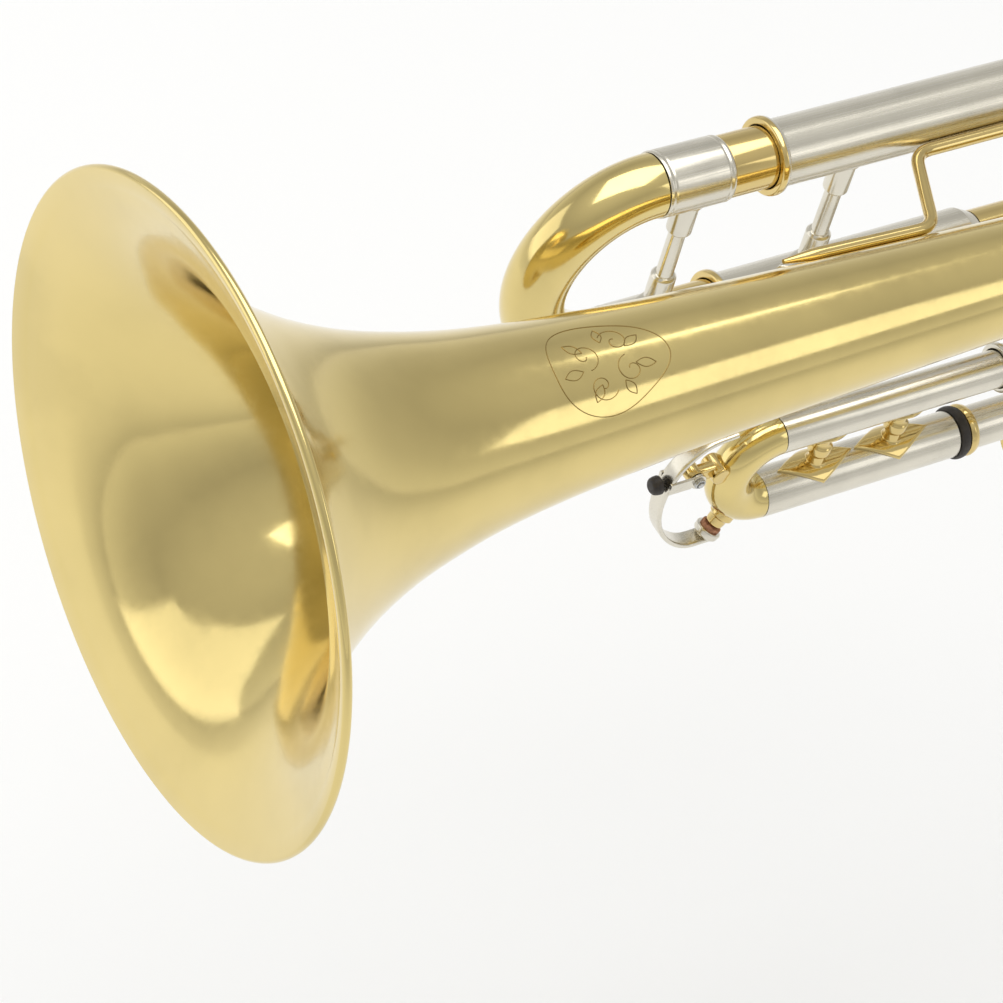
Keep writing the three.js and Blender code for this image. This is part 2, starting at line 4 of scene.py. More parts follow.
import bmesh
import bpy
from mathutils import Matrix, Vector


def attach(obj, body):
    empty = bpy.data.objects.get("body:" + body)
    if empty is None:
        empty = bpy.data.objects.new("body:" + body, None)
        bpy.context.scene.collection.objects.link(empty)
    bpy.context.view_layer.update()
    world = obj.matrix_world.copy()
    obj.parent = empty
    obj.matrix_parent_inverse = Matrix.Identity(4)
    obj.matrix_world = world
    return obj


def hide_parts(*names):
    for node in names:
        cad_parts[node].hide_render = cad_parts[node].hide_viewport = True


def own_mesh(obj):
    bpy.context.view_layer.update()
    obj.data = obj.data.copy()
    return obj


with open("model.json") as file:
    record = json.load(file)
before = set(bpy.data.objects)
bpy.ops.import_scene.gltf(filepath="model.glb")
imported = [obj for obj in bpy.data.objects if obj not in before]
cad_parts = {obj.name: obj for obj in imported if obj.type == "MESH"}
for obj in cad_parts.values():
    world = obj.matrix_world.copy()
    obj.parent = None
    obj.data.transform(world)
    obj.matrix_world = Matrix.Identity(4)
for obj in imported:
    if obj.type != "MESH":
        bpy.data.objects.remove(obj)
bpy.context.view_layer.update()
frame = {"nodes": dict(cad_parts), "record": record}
BODY = {n: b for b, nodes in frame["record"]["behaviour"]["bodies"].items() for n in nodes}
SLOT = {s["node"]: s["material_slot"] for s in frame["record"]["subparts"]}

# ---------------------------------------------------------------- the CAD's dimensions, in millimetres in the bell frame
GRIP = Vector((424, 31, -50))
BELL_OUT = [(3.2, 95.2), (5, 89.2), (8, 81.4), (12, 74.6), (18, 67.4), (26, 60.6), (34, 54.8),
            (44, 48.6), (54, 43.6), (66, 38.9), (80, 34.9), (98, 31.0), (120, 28.0), (150, 25.4), (190, 23.0),
            (240, 20.8), (300, 18.5), (380, 16.0), (498, 12.8)]
VALVE_Y, VALVE_X = 31, {"third": 392, "second": 424, "first": 456}
PIPE_Y, PIPE_Z, TUNE_CC = 66, 7.8, 70
TUNE_LOW_Z = PIPE_Z - TUNE_CC
TY, TUP, TLOW, TBX = 24, -83, -112.8, 250.5
X, Y, Z = Vector((1, 0, 0)), Vector((0, 1, 0)), Vector((0, 0, 1))


# ---------------------------------------------------------------- camera
cam = bpy.data.objects.new("camera", bpy.data.cameras.new("camera"))
bpy.context.scene.collection.objects.link(cam)
right, up, back = Vector((0.8515, -0.4857, 0.1975)), Vector((0.2556, 0.7134, 0.6525)), Vector((-0.4578, -0.5051, 0.7316))
m = Matrix((right, up, back)).transposed().to_quaternion().to_matrix().to_4x4()
m.translation = Vector((-0.8314, -0.6129, 0.8534))
cam.matrix_world = m
cam.data.sensor_width, cam.data.lens, cam.data.clip_start, cam.data.clip_end = 36, 136.39, 0.02, 60
bpy.context.scene.camera = cam
bpy.context.scene.view_settings.view_transform = "Standard"


# ---------------------------------------------------------------- materials
def nodes_of(name):
    mat = bpy.data.materials.new(name)
    mat.use_nodes = True
    nt = mat.node_tree
    return mat, nt, nt.nodes["Principled BSDF"], nt.nodes.new("ShaderNodeTexCoord")


def noise(nt, tc, scale, detail=3.0, stretch=None, rough=0.55):
    n = nt.nodes.new("ShaderNodeTexNoise")
    n.inputs["Scale"].default_value = scale
    n.inputs["Detail"].default_value = detail
    n.inputs["Roughness"].default_value = rough
    src = tc.outputs["Object"]
    if stretch:
        mp = nt.nodes.new("ShaderNodeMapping")
        mp.inputs["Scale"].default_value = stretch
        nt.links.new(src, mp.inputs["Vector"])
        src = mp.outputs["Vector"]
    nt.links.new(src, n.inputs["Vector"])
    return n.outputs["Fac"]


def ranged(nt, value, lo, hi, a=0.3, b=0.7):
    r = nt.nodes.new("ShaderNodeMapRange")
    for k, v in (("From Min", a), ("From Max", b), ("To Min", lo), ("To Max", hi)):
        r.inputs[k].default_value = v
    nt.links.new(value, r.inputs["Value"])
    return r.outputs["Result"]


def tint(nt, bsdf, value, stops):
    ramp = nt.nodes.new("ShaderNodeValToRGB")
    e = ramp.color_ramp.elements
    e[0].position, e[0].color = stops[0][0], (*stops[0][1], 1)
    e[1].position, e[1].color = stops[-1][0], (*stops[-1][1], 1)
    for p, c in stops[1:-1]:
        k = e.new(p)
        k.color = (*c, 1)
    nt.links.new(value, ramp.inputs["Fac"])
    nt.links.new(ramp.outputs["Color"], bsdf.inputs["Base Color"])


def bump(nt, bsdf, value, strength, dist):
    b = nt.nodes.new("ShaderNodeBump")
    b.inputs["Strength"].default_value = strength
    b.inputs["Distance"].default_value = dist
    nt.links.new(value, b.inputs["Height"])
    nt.links.new(b.outputs["Normal"], bsdf.inputs["Normal"])


def metal(name, col, rough, spread, stretch=None, patch=28, depth=0.05, coat=0.0):
    mat, nt, b, tc = nodes_of(name)
    b.inputs["Metallic"].default_value = 1.0
    b.inputs["Coat Weight"].default_value = coat
    b.inputs["Coat Roughness"].default_value = 0.06
    dark, lite = tuple(c * 0.93 for c in col), tuple(min(1, c * 1.035) for c in col)
    tint(nt, b, noise(nt, tc, patch, 4), [(0.34, dark), (0.5, col), (0.68, lite)])
    fine = noise(nt, tc, 1.0, 4, stretch or (260, 260, 260))
    nt.links.new(ranged(nt, fine, rough - spread, rough + spread), b.inputs["Roughness"])
    bump(nt, b, fine, depth, 0.00012)
    return mat


BRASS = metal("lacquered_brass_v", (0.745, 0.595, 0.245), 0.13, 0.035, patch=22, depth=0.035, coat=0.25)
BRASS_TUBE = metal("lacquered_brass_tube_v", (0.72, 0.55, 0.225), 0.12, 0.03, (40, 900, 900), patch=40, coat=0.25)
NICKEL = metal("nickel_silver_v", (0.74, 0.70, 0.60), 0.24, 0.06, (25, 2600, 2600), patch=50, depth=0.10)
NICKEL_Z = metal("nickel_silver_upright_v", (0.74, 0.70, 0.60), 0.20, 0.05, (2200, 2200, 30), patch=50, depth=0.08)
SILVER = metal("silver_plate_v", (0.90, 0.885, 0.85), 0.09, 0.02, patch=60, depth=0.02)
STEEL = metal("spring_steel_v", (0.56, 0.56, 0.55), 0.28, 0.05, patch=80)
SCRIBE = metal("engraved_line_v", (0.30, 0.205, 0.065), 0.42, 0.06, patch=200, depth=0.2)


def plain(name, stops, scale, lo, hi, depth, dist, detail=6, stretch=None):
    mat, nt, b, tc = nodes_of(name)
    n = noise(nt, tc, scale, detail, stretch)
    tint(nt, b, n, stops)
    nt.links.new(ranged(nt, noise(nt, tc, scale * 3, 3, stretch), lo, hi), b.inputs["Roughness"])
    bump(nt, b, n, depth, dist)
    return mat


RUBBER = plain("rubber_v", [(0.3, (0.012, 0.009, 0.007)), (0.7, (0.035, 0.027, 0.02))], 420, 0.42, 0.62, 0.25, 0.0002)
CORK = plain("cork_v", [(0.32, (0.20, 0.075, 0.035)), (0.5, (0.46, 0.215, 0.12)), (0.7, (0.60, 0.32, 0.19))], 900, 0.75, 0.95, 0.7, 0.0003)
PEARL = plain("pearl_v", [(0.3, (0.70, 0.69, 0.66)), (0.5, (0.86, 0.84, 0.79)), (0.7, (0.80, 0.85, 0.84))], 120, 0.10, 0.2, 0.04, 0.0001, stretch=(1, 2.4, 1))
PEARL.node_tree.nodes["Principled BSDF"].inputs["Coat Weight"].default_value = 0.6
MATS = {"lacquered_brass": BRASS_TUBE, "nickel_silver": NICKEL, "silver_plate": SILVER, "spring_steel": STEEL, "rubber": RUBBER, "cork": CORK, "pearl": PEARL}


# ---------------------------------------------------------------- shapes; each returns (points, faces) in millimetres
def smooth(pts, k=8):
    """A curve through the points, k steps a stretch."""
    out = []
    for i in range(len(pts) - 1):
        p = [Vector(pts[max(0, min(len(pts) - 1, j))]) for j in (i - 1, i, i + 1, i + 2)]
        d = [max(1e-6, (p[j + 1] - p[j]).length ** 0.5) for j in range(3)]
        if i == 0: d[0] = d[1]
        if i == len(pts) - 2: d[2] = d[1]
        t1 = (p[1] - p[0]) / d[0] - (p[2] - p[0]) / (d[0] + d[1]) + (p[2] - p[1]) / d[1]
        t2 = (p[2] - p[1]) / d[1] - (p[3] - p[1]) / (d[1] + d[2]) + (p[3] - p[2]) / d[2]
        if i == 0: t1 = (p[2] - p[1]) / d[1]
        if i == len(pts) - 2: t2 = (p[2] - p[1]) / d[1]
        t1, t2 = t1 * d[1], t2 * d[1]
        for j in range(k):
            t = j / k
            out.append(p[1] * (2 * t ** 3 - 3 * t * t + 1) + t1 * (t ** 3 - 2 * t * t + t) + p[2] * (3 * t * t - 2 * t ** 3) + t2 * (t ** 3 - t * t))
    out.append(Vector(pts[-1]))
    return out


def eased(pts, r):
    """The profile with its corners rounded by about r."""
    ring = tuple(pts[0]) == tuple(pts[-1])
    p = [Vector(q) for q in (pts[:-1] if ring else pts)]
    out = []
    for i, c in enumerate(p):
        a, b = p[i - 1], p[(i + 1) % len(p)]
        if (not ring and i in (0, len(p) - 1)) or c.y < 1e-6:
            out.append(c)
            continue
        u, v = a - c, b - c
        if math.pi - u.angle(v) < 0.16:
            out.append(c)
            continue
        k = min(r, 0.42 * u.length, 0.42 * v.length)
        s, e = c + u.normalized() * k, c + v.normalized() * k
        out += [s * (1 - t) ** 2 + c * 2 * t * (1 - t) + e * t * t for t in (0, 0.25, 0.5, 0.75, 1)]
    return out, ring


def lathe(pts, at=(0, 0, 0), axis=X, seg=72, r=0.28, done=False, knurl=None):
    rows, ring = (list(map(Vector, pts)), True) if done else eased(pts, r)
    at, axis = Vector(at), axis.normalized()
    u = (Y if abs(axis.y) < 0.9 else Z).cross(axis).normalized()
    w = axis.cross(u)
    vs, idx = [], []
    for h, rad in rows:
        if rad < 1e-6:
            idx.append([len(vs)] * seg)
            vs.append(at + axis * h)
            continue
        idx.append(list(range(len(vs), len(vs) + seg)))
        for s in range(seg):
            a = 2 * math.pi * s / seg
            k = rad
            if knurl and knurl[0] < h < knurl[1] and rad > knurl[2]:
                k -= knurl[4] * (0.5 + 0.5 * math.cos(knurl[3] * a))
            vs.append(at + axis * h + (u * math.cos(a) + w * math.sin(a)) * k)
    fs = []
    n = len(rows)
    for i in range(n if ring else n - 1):
        a, b = idx[i], idx[(i + 1) % n]
        for s in range(seg):
            f = [a[s], a[(s + 1) % seg], b[(s + 1) % seg], b[s]]
            f = [v for j, v in enumerate(f) if v not in f[:j]]
            if len(f) > 2: fs.append(f)
    return vs, fs


def rod(a, b, r0, r1=None, seg=40, r=0.35):
    a, b = Vector(a), Vector(b)
    L = (b - a).length
    return lathe([(0, 0), (0, r0), (L, r0 if r1 is None else r1), (L, 0)], a, b - a, seg, r)


def route(start, d, side, parts, step=1.2):
    """Points along straight stretches (a length) and turns (radius, angle) in one plane."""
    p, d, s = Vector(start), d.normalized(), side.normalized()
    out = [p.copy()]
    for part in parts:
        if isinstance(part, tuple):
            r, ang = part
            n = max(6, int(r * ang / step))
            c = p + s * r
            for i in range(1, n + 1):
                a = ang * i / n
                out.append(c - s * r * math.cos(a) + d * r * math.sin(a))
            p = out[-1].copy()
            d, s = d * math.cos(ang) + s * math.sin(ang), s * math.cos(ang) - d * math.sin(ang)
        else:
            n = max(1, int(part / 6))
            out += [p + d * part * i / n for i in range(1, n + 1)]
            p = out[-1].copy()
    return out


def sweep(path, r0, r1=None, wall=0.0, seg=48, flat=None, first=None):
    """A round pipe or rod along a path. flat = (half width, half thickness) makes a strip with soft edges instead."""
    r1 = r0 if r1 is None else r1
    n = len(path)
    tan = [(path[min(i + 1, n - 1)] - path[max(i - 1, 0)]).normalized() for i in range(n)]
    u = (first or (Y if abs(tan[0].y) < 0.8 else Z)).copy()
    vs, idx, mean = [], [], 0
    layers = [1.0] if not wall else [1.0, None]
    for layer in layers:
        u = (first or (Y if abs(tan[0].y) < 0.8 else Z)).copy()
        rows = []
        for i, p in enumerate(path):
            u = (u - tan[i] * u.dot(tan[i])).normalized()
            w = tan[i].cross(u)
            rad = r0(i / (n - 1)) if callable(r0) else r0 + (r1 - r0) * i / (n - 1)
            if layer is None: rad -= wall
            rows.append(list(range(len(vs), len(vs) + seg)))
            for s in range(seg):
                a = 2 * math.pi * s / seg
                if flat:
                    c, q = math.cos(a), math.sin(a)
                    vs.append(p + u * flat[0] * math.copysign(abs(c) ** 0.35, c) + w * flat[1] * math.copysign(abs(q) ** 0.5, q))
                else:
                    vs.append(p + (u * math.cos(a) + w * math.sin(a)) * rad)
        idx.append(rows)
    fs = []
    for rows in idx:
        for a, b in zip(rows, rows[1:]):
            fs += [[a[s], a[(s + 1) % seg], b[(s + 1) % seg], b[s]] for s in range(seg)]
    if wall:
        for e in (0, -1):
            a, b = idx[0][e], idx[1][e]
            fs += [[a[s], a[(s + 1) % seg], b[(s + 1) % seg], b[s]] for s in range(seg)]
    else:
        for e in (0, -1):
            c = len(vs)
            vs.append(path[e].copy())
            a = idx[0][e]
            fs += [[a[s], a[(s + 1) % seg], c] for s in range(seg)]
    return vs, fs


def bent(pts, r, n=7):
    """A polyline with its corners rounded."""
    p = [Vector(q) for q in pts]
    out = [p[0]]
    for a, c, b in zip(p, p[1:], p[2:]):
        u, v = a - c, b - c
        k = min(r, 0.45 * u.length, 0.45 * v.length)
        s, e = c + u.normalized() * k, c + v.normalized() * k
        out += [s * (1 - t) ** 2 + c * 2 * t * (1 - t) + e * t * t for t in [i / n for i in range(n + 1)]]
    out.append(p[-1])
    fine = []
    for a, b in zip(out, out[1:]):
        k = max(1, int((b - a).length / 2.5))
        fine += [a.lerp(b, i / k) for i in range(k)]
    return fine + [out[-1]]


def foot(x, y, z, tube, side, hx, hy, t, n=20):
    """A lozenge plate bent round a tube, pillowed towards its edges."""
    vs, fs = [], []
    grid = [0.5 - 0.5 * math.copysign(abs(1 - 2 * i / n) ** 0.55, 1 - 2 * i / n) for i in range(n + 1)]
    for layer in (0, 1):
        for i in range(n + 1):
            for j in range(n + 1):
                a, b = grid[i], grid[j]
                px, py = hx * (a - b), hy * (a + b - 1)
                edge = min(a, 1 - a, b, 1 - b)
                k = min(1, edge / 0.045)
                rad = tube + 0.3 + (t * (0.5 + 0.5 * math.sin(k * math.pi / 2)) if layer else -0.25)
                g = py / tube
                vs.append(Vector((x + px, y + rad * math.sin(g), z + side * rad * math.cos(g))))
    N = (n + 1) ** 2
    at = lambda l, i, j: l * N + i * (n + 1) + j
    for i in range(n):
        for j in range(n):
            for l in (0, 1):
                fs.append([at(l, i, j), at(l, i + 1, j), at(l, i + 1, j + 1), at(l, i, j + 1)])
    for i in range(n):
        for e in (0, n):
            fs.append([at(0, i, e), at(0, i + 1, e), at(1, i + 1, e), at(1, i, e)])
            fs.append([at(0, e, i), at(0, e, i + 1), at(1, e, i + 1), at(1, e, i)])
    return vs, fs


def seated(shape, vx, way):
    """The tube with its end beside the valve at vx shaped to the casing's round wall."""
    vs = []
    for p in shape[0]:
        p = p.copy()
        d = (p.x - vx) if way == "y" else (p.y - VALVE_Y)
        reach = max(4.0, math.sqrt(max(0.0, 13.6 ** 2 - d * d)))
        if way == "front" and vx - 17 < p.x <= vx: p.x = vx - reach
        if way == "rear" and vx <= p.x < vx + 17: p.x = vx + reach
        if way == "y" and VALVE_Y <= p.y < VALVE_Y + 16: p.y = VALVE_Y + reach
        vs.append(p)
    return vs, shape[1]


def make(node, shapes, mat=None, name=None, slot=None, stands=True, sharp=38):
    vs, fs = [], []
    for v, f in shapes:
        k = len(vs)
        vs += [(p - GRIP) / 1000 for p in v]
        fs += [[i + k for i in q] for q in f]
    me = bpy.data.meshes.new(name or node + "_v")
    me.from_pydata([tuple(v) for v in vs], [], fs)
    bm = bmesh.new()
    bm.from_mesh(me)
    bmesh.ops.recalc_face_normals(bm, faces=bm.faces)
    bm.to_mesh(me)
    bm.free()
    me.shade_smooth()
    me.set_sharp_from_angle(angle=math.radians(sharp))
    o = bpy.data.objects.new(name or node + "_v", me)
    bpy.context.scene.collection.objects.link(o)
    me.materials.append(mat or MATS[slot or SLOT[node]])
    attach(o, BODY[node])
    if stands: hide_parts(node)
    return o


# ---------------------------------------------------------------- bell
outer = smooth(BELL_OUT, 8)
inner = []
for i, p in enumerate(outer):
    a, b = outer[max(0, i - 1)], outer[min(len(outer) - 1, i + 1)]
    d = (b - a).normalized()
    inner.append(Vector((p.x + d.y * 0.9, p.y - d.x * 0.9)))
inner[-1].x = outer[-1].x
bead = [Vector((1.7 + 1.5 * math.cos(math.radians(g)), 100 + 1.5 * math.sin(math.radians(g)))) for g in range(170, -61, -10)]
make("bell", [lathe(list(reversed(inner)) + bead + outer, seg=224, done=True)], BRASS, sharp=60)


def bell_r(x):
    for a, b in zip(outer, outer[1:]):
        if a.x <= x <= b.x: return a.y + (b.y - a.y) * (x - a.x) / (b.x - a.x)
    return outer[-1].y


# A generic ornament cut into the bell: a rounded outline, scrolls and leaves. There is no lettering.
def on_bell(u, v, lift=0.02):
    x = 137 + u
    r = bell_r(x)
    th = math.radians(108) + v / 26.6
    return Vector((x, (r + lift) * math.cos(th), (r + lift) * math.sin(th)))


strokes = []
strokes.append([(20.5 * math.cos(a) * (1 + 0.07 * math.cos(3 * a)), 15.0 * math.sin(a) * (1 + 0.07 * math.cos(3 * a + 0.6))) for a in [2 * math.pi * i / 90 for i in range(91)]])
for cx, cy, s, turn in ((-7, -3.5, 1, 0.4), (7, 3.5, 1, 3.5), (-4.5, 6.5, -1, 1.6), (5.5, -6.5, -1, 4.8)):
    strokes.append([(cx + (0.7 + 0.62 * a) * math.cos(turn + s * a), cy + (0.7 + 0.55 * a) * math.sin(turn + s * a)) for a in [i * 0.18 for i in range(42)]])
for k in range(7):
    a = k * 2 * math.pi / 7 + 0.3
    c, q = math.cos(a), math.sin(a)
    for bow in (-1, 1):
        strokes.append([((9.5 + 7 * t) * c - bow * 1.5 * math.sin(math.pi * t) * q, ((7 + 5.2 * t) * q + bow * 1.5 * math.sin(math.pi * t) * c)) for t in [i / 12 for i in range(13)]])
make("bell", [sweep([on_bell(u, v) for u, v in s], 0.15, seg=8) for s in strokes], SCRIBE, "bell_ornament", stands=False)

# ---------------------------------------------------------------- rear bow
down = Vector((0, VALVE_Y, -62))
make("bell_bow", [sweep(route((498.3, 0, 0), X, down, [1, (down.length / 2, math.pi), 1]), 12.8, 9.2, 0.9, 56)])
make("bell_bow_ferrule", [seated(lathe([(470, 8.2), (470, 9.2), (476, 9.2), (476, 10.4), (478, 10.0), (496, 10.0), (497, 10.4), (498, 10.2), (498, 8.2), (470, 8.2)], (0, VALVE_Y, -62)), 456, "rear")])

# ---------------------------------------------------------------- valves
for v, x in VALVE_X.items():
    c = (x, VALVE_Y, 0)
    make(f"{v}_valve_casing", [lathe([(-145, 12.4), (-145, 14), (-141, 14), (-140.4, 13.5), (-139.6, 13.5), (-139, 13.9), (-44, 13.9), (-43.4, 13.5), (-42.6, 13.5), (-42, 14), (-38, 14), (-37.4, 13.6), (18, 13.6), (18.6, 14), (24, 14), (24, 12.4), (-145, 12.4)], c, Z, 96)], NICKEL_Z)
    make(f"{v}_valve_top_cap", [lathe([(24.3, 3.3), (24.3, 15.3), (28.2, 15.3), (28.8, 14.4), (30, 11), (30, 3.3), (24.3, 3.3)], c, Z, 288, knurl=(24.4, 28.3, 15.0, 72, 0.35))])
    make(f"{v}_valve_bottom_cap", [lathe([(-151.5, 0), (-151.5, 2.2), (-151.5, 12.5), (-150.2, 14.4), (-149.5, 15.3), (-145.3, 15.3), (-145.3, 0)], c, Z, 288, knurl=(-149.6, -145.4, 15.0, 72, 0.35))])
    make(f"{v}_piston", [lathe([(-121, 0), (-121, 12), (-46, 12), (-43, 6), (-34, 2.6), (46.7, 2.6), (46.7, 0)], c, Z, 72)], NICKEL_Z)
    make(f"{v}_valve_button", [lathe([(47, 0), (47, 5), (48.2, 7.6), (48.6, 9.5), (50.7, 9.5), (51.4, 8.8), (51.4, 8.3), (50.6, 8.2), (50.4, 0)], c, Z, 72)], BRASS_TUBE, f"{v}_button_cup", "lacquered_brass", stands=False)
    make(f"{v}_valve_button", [lathe([(50.3, 0), (50.3, 8.1), (51.0, 8.0), (50.75, 4), (50.65, 0)], c, Z, 72)], PEARL)
    spring = frame["nodes"][f"{v}_valve_spring"]
    spring.data.materials[0] = STEEL
    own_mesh(spring)
for n, xa, xb, z in (("front", 392, 424, -92), ("rear", 424, 456, -76)):
    tube = lathe([(xa + 12, 6.3), (xa + 12, 7.4), (xb - 12, 7.4), (xb - 12, 6.3), (xa + 12, 6.3)], (0, VALVE_Y, z), r=0.05)
    ends = []
    for p in tube[0]:
        reach = math.sqrt(13.6 ** 2 - (p.y - VALVE_Y) ** 2)
        ends.append(Vector((xa + reach if p.x < (xa + xb) / 2 else xb - reach, p.y, p.z)))
    make(f"crossover_tube_{n}", [(ends, tube[1])])

# ---------------------------------------------------------------- leadpipe, receiver, mouthpiece
PIPE = (0, PIPE_Y, PIPE_Z)
make("leadpipe", [lathe([(352.3, 7.2), (352.3, 8.6), (600, 6.9), (600, 5.7), (352.3, 7.2)], PIPE, seg=80)])
make("mouthpiece_receiver", [lathe([(600.3, 7), (600.3, 8.6), (603, 8.7), (606, 9.4), (608, 9.0), (638, 9.0), (640, 10.2), (645, 10.2), (645, 7), (600.3, 7)], PIPE, seg=80)])
cup = smooth([(626, 5.9), (645, 6.2), (662, 6.6), (668, 8.2), (678, 12.6), (692, 15.6), (699, 17.2), (702, 19.2)], 7)
rim = smooth([(706, 19.2), (707.9, 18.2), (708.4, 16.4), (708.0, 14.6), (705, 12.9), (698, 12.2), (689, 9.6), (683, 5.4), (679, 3.3)], 7)
make("mouthpiece", [lathe([(626, 4.4)] + cup + rim, PIPE, seg=112, done=True)], sharp=50)

# ---------------------------------------------------------------- main tuning slide
for n, z in (("upper", PIPE_Z), ("lower", TUNE_LOW_Z)):
    at = (0, PIPE_Y, z)
    make(f"tuning_outer_{n}", [lathe([(243.6, 10.6), (243.6, 12.2), (244.1, 12.9), (245.2, 13.1), (246.3, 12.9), (246.9, 12.2), (247.2, 11.1), (347, 11.1), (352, 8.8), (352, 7.2), (344, 10.6), (243.6, 10.6)], at, seg=96)])
    make(f"tuning_outer_{n}", [lathe([(243.5, 10.7), (243.5, 12.4), (243.9, 12.9), (245.1, 13.12), (246.2, 12.9), (246.9, 12.2), (246.9, 10.7), (243.5, 10.7)], at, seg=96)], BRASS_TUBE, f"tuning_end_ring_{n}", "lacquered_brass", stands=False)
    make(f"tuning_ferrule_{n}", [lathe([(202.3, 9.7), (202.3, 10.8), (203.2, 10.95), (204.2, 10.75), (204.9, 10.9), (224.4, 10.9), (225.1, 10.75), (226.1, 10.95), (227, 10.7), (227, 9.7), (202.3, 9.7)], at, seg=96, r=0.2)])
    make(f"tuning_inner_{n}", [lathe([(227.3, 9.7), (227.3, 10.25), (306, 10.25), (306, 9.7), (227.3, 9.7)], at, seg=80)])
make("tuning_bow", [sweep(route((202, PIPE_Y, PIPE_Z), -X, -Z, [(35, math.pi)], 0.9), 10.45, None, 0.8, 72)], BRASS)


def stay(node, x, r):
    zt, zb = PIPE_Z - r - 0.4, TUNE_LOW_Z + r + 0.4
    make(node, [lathe([(zb, 0), (zb, 4.3), (zb + 13, 4.3), (zb + 14, 3.4), (zb + 14, 2.9), (zt - 14, 2.9), (zt - 14, 3.4), (zt - 13, 4.3), (zt, 4.3), (zt, 0)], (x, PIPE_Y, 0), Z, 56),
                foot(x, PIPE_Y, PIPE_Z, r, -1, 13, 6.2, 1.0), foot(x, PIPE_Y, TUNE_LOW_Z, r, 1, 13, 6.2, 1.0)], NICKEL_Z)


stay("tuning_outer_stay", 280.5, 11.1)
stay("tuning_slide_stay", 218.9, 10.95)
make("valve_inlet_elbow", [seated(sweep(route((352.3, PIPE_Y, TUNE_LOW_Z), X, -Y, [22.7, (17, math.pi / 2), PIPE_Y - 17 - 44]), 8.8, 8.4, 1.0, 48), 392, "y")])

# ---------------------------------------------------------------- braces
side = lambda x, r: ((x, (r + 2.7) * 0.93, (r + 2.7) * 0.37))
bar = bent([side(224, 21.5), side(281, 19.3), (296, PIPE_Y - 13.6, 6.5), (347, PIPE_Y - 13.6, 6.5)], 6)
make("bell_z_brace", [sweep(bar, lambda t: 2.2 * min(1, 0.35 + 9 * t, 0.35 + 9 * (1 - t)), seg=32)])
make("rear_brace", [lathe([(13.8, 0), (13.8, 4.4), (16.6, 4.4), (17.5, 3.2), (18.2, 2.4), (53, 2.4), (53.8, 3.2), (54.6, 4.4), (57.6, 4.4), (57.6, 0)], (486, 0, 5), Y, 48)])

# ---------------------------------------------------------------- third valve slide
make("third_inner_lower", [seated(lathe([(262, 7.1), (262, 7.65), (379, 7.65), (379, 7.1), (262, 7.1)], (0, TY, TLOW), seg=80), 392, "front")])
make("third_outer_upper", [seated(lathe([(342, 7.1), (342, 8.4), (342.6, 8.9), (344, 8.9), (344.6, 8.4), (345, 7.8), (379, 7.8), (379, 7.1), (342, 7.1)], (0, TY, TUP), seg=80), 392, "front")])
make("third_slide_bumper", [lathe([(331.7, 8), (331.7, 8.9), (332.5, 9.35), (333.6, 9.5), (334.8, 9.35), (335.6, 8.9), (335.6, 8), (331.7, 8)], (0, TY, TLOW), seg=72)])
make("third_slide_stop_ring", [lathe([(335.9, 8), (335.9, 8.9), (337.4, 9.4), (339.2, 8.9), (339.2, 8), (335.9, 8)], (0, TY, TLOW), seg=72, r=0.5)])
tcc = TUP - TLOW
make("third_bow", [sweep(route((TBX, TY, TUP), -X, -Z, [(tcc / 2, math.pi)], 0.6), 6.7, 8.3, 0.7, 64)], BRASS)
make("third_leg_upper", [lathe([(250.8, 6.2), (250.8, 6.7), (377, 6.7), (377, 6.2), (250.8, 6.2)], (0, TY, TUP), seg=72)])
make("third_sleeve_lower", [lathe([(250.8, 8), (250.8, 8.4), (331.4, 8.4), (331.4, 8), (250.8, 8)], (0, TY, TLOW), seg=80)])
for n, x in (("front", 272.7), ("rear", 304.4)):
    zt, zb = TUP - 6.7 - 0.4, TLOW + 8.4 + 0.4
    zm = (zt + zb) / 2
    post = [(zb, 0), (zb, 4.1), (zb + 0.8, 3.3), (zm - 3, 3.0), (zm - 2.2, 3.4), (zm - 1.6, 4.1), (zm, 4.2), (zm + 1.6, 4.1), (zm + 2.2, 3.4), (zm + 3, 3.0), (zt - 0.8, 3.3), (zt, 4.1), (zt, 0)]
    make(f"third_stay_{n}", [lathe(post, (x, TY, 0), Z, 56, r=0.4), foot(x, TY, TUP, 6.7, -1, 14, 6.4, 0.9), foot(x, TY, TLOW, 8.4, 1, 15.3, 8.2, 0.9)])

# ---------------------------------------------------------------- water key
nrm = Vector((-0.5, 0, -0.866))
mid = Vector((TBX, TY, (TUP + TLOW) / 2)) + nrm * tcc / 2
on = lambda d: mid + nrm * d
piv = Vector((219.5, TY, -91))
make("water_key_nipple", [lathe([(5.2, 0), (5.2, 4.4), (9.0, 4.4), (9.8, 3.4), (12.4, 3.2), (13.2, 2.9), (13.2, 1.5), (12.2, 1.5), (12.2, 0)], mid, nrm, 48)])
make("water_key_cork", [rod(on(13.5), on(15.9), 3.7, 3.55, 48, 0.5)])
make("water_key_saddle", [lathe([(-4.5, 0), (-4.5, 3.4), (4.5, 3.4), (4.5, 0)], (228.6, TY, -91.5), Y, 48, 0.8),
                          lathe([(-2.2, 1.5), (-2.2, 3.0), (2.2, 3.0), (2.2, 1.5), (-2.2, 1.5)], piv, Y, 48),
                          sweep([Vector((219.9 + 0.9 * i, TY, -91)) for i in range(10)], 1, seg=24, flat=(2.2, 2.5), first=Y)])
make("water_key_pin", [lathe([(-5.6, 0), (-5.6, 1.1), (5.6, 1.1), (5.6, 0)], piv, Y, 32, 0.4)])
coil = []
for s in (-1, 1):
    coil.append(sweep([piv + Vector((1.75 * math.cos(a), s * (3.95 + 0.22 * a / math.pi / 1.1), 1.75 * math.sin(a))) for a in [i * math.pi / 12 for i in range(int(24 * 2.6))]], 0.3, seg=10))
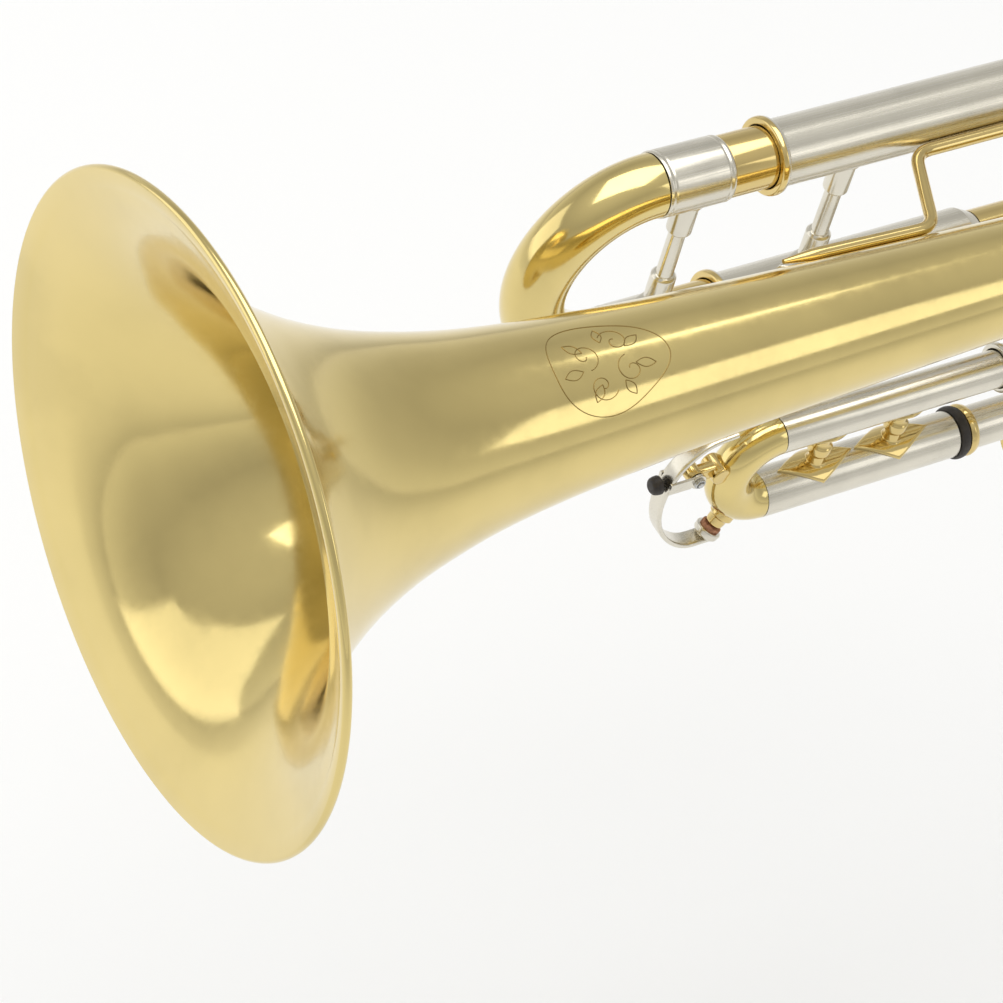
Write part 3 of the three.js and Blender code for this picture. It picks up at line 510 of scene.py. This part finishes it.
make("water_key_pin", coil, STEEL, "water_key_spring_coils", stands=False)
strip = smooth([(231, -73.5), (220, -75.5), (211.5, -84), (208, -97), (209.8, -110), (216, -120.4), (224.5, -126.6), (234.5, -127.2)], 9)
ears = []
for y in (-3.2, 3.2):
    ears.append(lathe([(-0.65, 1.45), (-0.65, 2.9), (0.65, 2.9), (0.65, 1.45), (-0.65, 1.45)], piv + Y * y, Y, 40, 0.25))
    ears.append(sweep([Vector((208.2 + 1.1 * i, TY + y, -91)) for i in range(9)], 1, seg=24, flat=(0.65, 2.4), first=Y))
make("water_key_lever", [sweep([Vector((p.x, TY, p.y)) for p in strip], 1, seg=28, flat=(3.2, 0.9), first=Y), *ears,
                         lathe([(15.2, 0), (15.2, 4.5), (15.7, 4.8), (17.6, 4.6), (18.6, 3.6), (18.6, 0)], mid, nrm, 48)])
make("water_key_thumb_pad", [lathe([(0, 0), (0, 3.3), (1.6, 3.25), (3.0, 2.9), (3.7, 2.0), (3.7, 0)], (206.3, TY, -91), -X, 48, 0.6)])

# ---------------------------------------------------------------- first and second valve slides
for n, z in (("upper", -88), ("lower", -115)):
    make(f"first_outer_{n}", [seated(lathe([(470.3, 5.6), (470.3, 7.4), (519, 7.4), (519.3, 8.3), (522, 8.3), (522, 6.7), (476, 6.7), (475, 5.6), (470.3, 5.6)], (0, VALVE_Y, z), seg=72), 456, "rear")])
    make(f"second_outer_{n}", [seated(lathe([(45.3, 5.6), (45.3, 7.4), (59.5, 7.4), (59.8, 8.3), (62, 8.3), (62, 6.7), (49, 6.7), (48, 5.6), (45.3, 5.6)], (424, 0, z), Y, seg=72), 424, "y")])
make("first_slide", [sweep(route((480, VALVE_Y, -88), X, -Z, [45, (13.5, math.pi), 45], 0.7), 6.3, None, 0.6, 56)])
make("second_slide", [sweep(route((424, 51, -88), Y, -Z, [14, (13.5, math.pi), 14], 0.7), 6.3, None, 0.6, 56)])

# ---------------------------------------------------------------- floor, sky and lights
fm, nt, b, tc = nodes_of("floor_v")
b.inputs["Base Color"].default_value = (0.93, 0.93, 0.93, 1)
b.inputs["Roughness"].default_value = 0.9
b.inputs["Specular IOR Level"].default_value = 0.1
me = bpy.data.meshes.new("floor")
me.from_pydata([(-12, -12, -0.42), (12, -12, -0.42), (12, 12, -0.42), (-12, 12, -0.42)], [], [[0, 1, 2, 3]])
floor = bpy.data.objects.new("floor", me)
me.materials.append(fm)
bpy.context.scene.collection.objects.link(floor)

world = bpy.data.worlds.new("studio")
bpy.context.scene.world = world
world.use_nodes = True
wn = world.node_tree
bg = wn.nodes["Background"]
wtc, sep, ramp = wn.nodes.new("ShaderNodeTexCoord"), wn.nodes.new("ShaderNodeSeparateXYZ"), wn.nodes.new("ShaderNodeValToRGB")
wn.links.new(wtc.outputs["Generated"], sep.inputs["Vector"])
wn.links.new(sep.outputs["Z"], ramp.inputs["Fac"])
e = ramp.color_ramp.elements
e[0].position, e[0].color = 0.0, (0.80, 0.80, 0.79, 1)
e[1].position, e[1].color = 1.0, (0.78, 0.78, 0.77, 1)
for p, g in ((0.22, 0.62), (0.5, 0.50), (0.72, 0.62)):
    k = e.new(p)
    k.color = (g, g, g * 0.98, 1)
wn.links.new(ramp.outputs["Color"], bg.inputs["Color"])
bg.inputs["Strength"].default_value = 1.0

MIDDLE = Vector((-0.25, 0, 0.02))


def softbox(name, az, el, dist, w, h, radiance):
    d = Vector((math.cos(math.radians(el)) * math.cos(math.radians(az)), math.cos(math.radians(el)) * math.sin(math.radians(az)), math.sin(math.radians(el))))
    L = bpy.data.lights.new(name, "AREA")
    L.shape, L.size, L.size_y, L.energy = "RECTANGLE", w, h, radiance * math.pi * w * h
    o = bpy.data.objects.new(name, L)
    o.location = MIDDLE + d * dist
    o.rotation_mode = "QUATERNION"
    o.rotation_quaternion = (-d).to_track_quat("-Z", "Y")
    o.visible_camera = False
    bpy.context.scene.collection.objects.link(o)


softbox("strip_right", -47, 28, 1.7, 0.46, 0.62, 1.0)
softbox("panel_far", 145, 13, 1.35, 1.1, 0.9, 0.72)
softbox("overhead", 60, 82, 3.0, 3.0, 3.0, 2.0)
